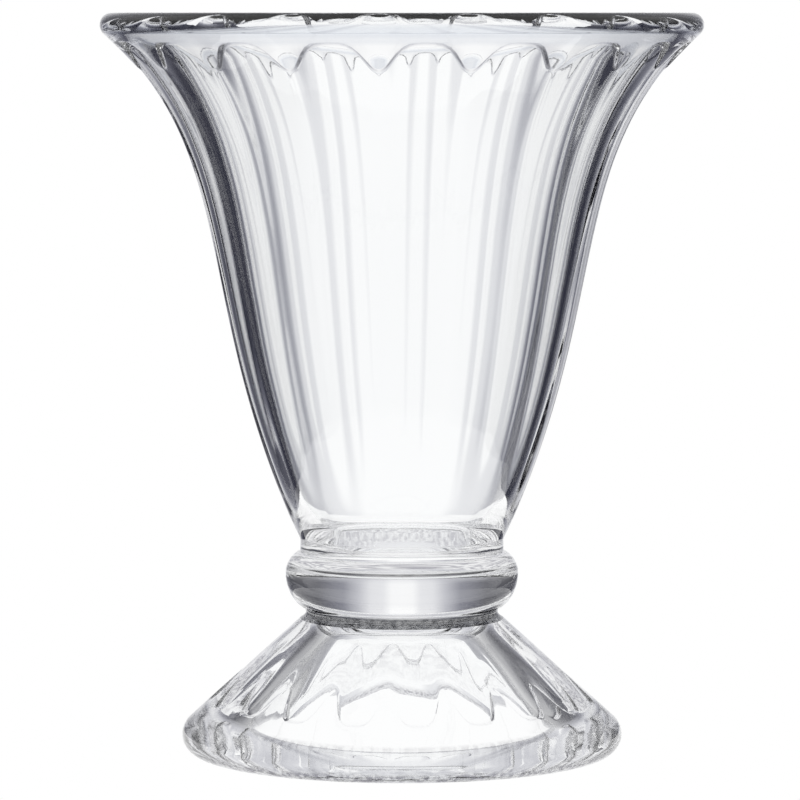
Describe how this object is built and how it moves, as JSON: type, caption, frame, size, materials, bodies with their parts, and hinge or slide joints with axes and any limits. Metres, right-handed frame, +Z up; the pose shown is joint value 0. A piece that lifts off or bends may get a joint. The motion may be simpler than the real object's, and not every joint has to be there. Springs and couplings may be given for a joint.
{
  "type": "footed parfait glass",
  "caption": "Footed clear-glass dessert cup with a flared fluted bowl, a solid knop and a fluted hollow foot.",
  "frame": {"origin": "centre of the ring under the foot that the glass rests on", "axes": "+Z up along the axis of the glass, -Y towards the viewer of the picture, +X to the viewer's right"},
  "size_m": [0.096, 0.096, 0.1186],
  "materials": {
    "clear_glass": "fire-polished clear pressed glass, with a faintly stippled ring under the foot"
  },
  "bodies": {
    "root": {"bowl": "clear_glass", "knop": "clear_glass", "foot": "clear_glass"}
  },
  "joints": []
}
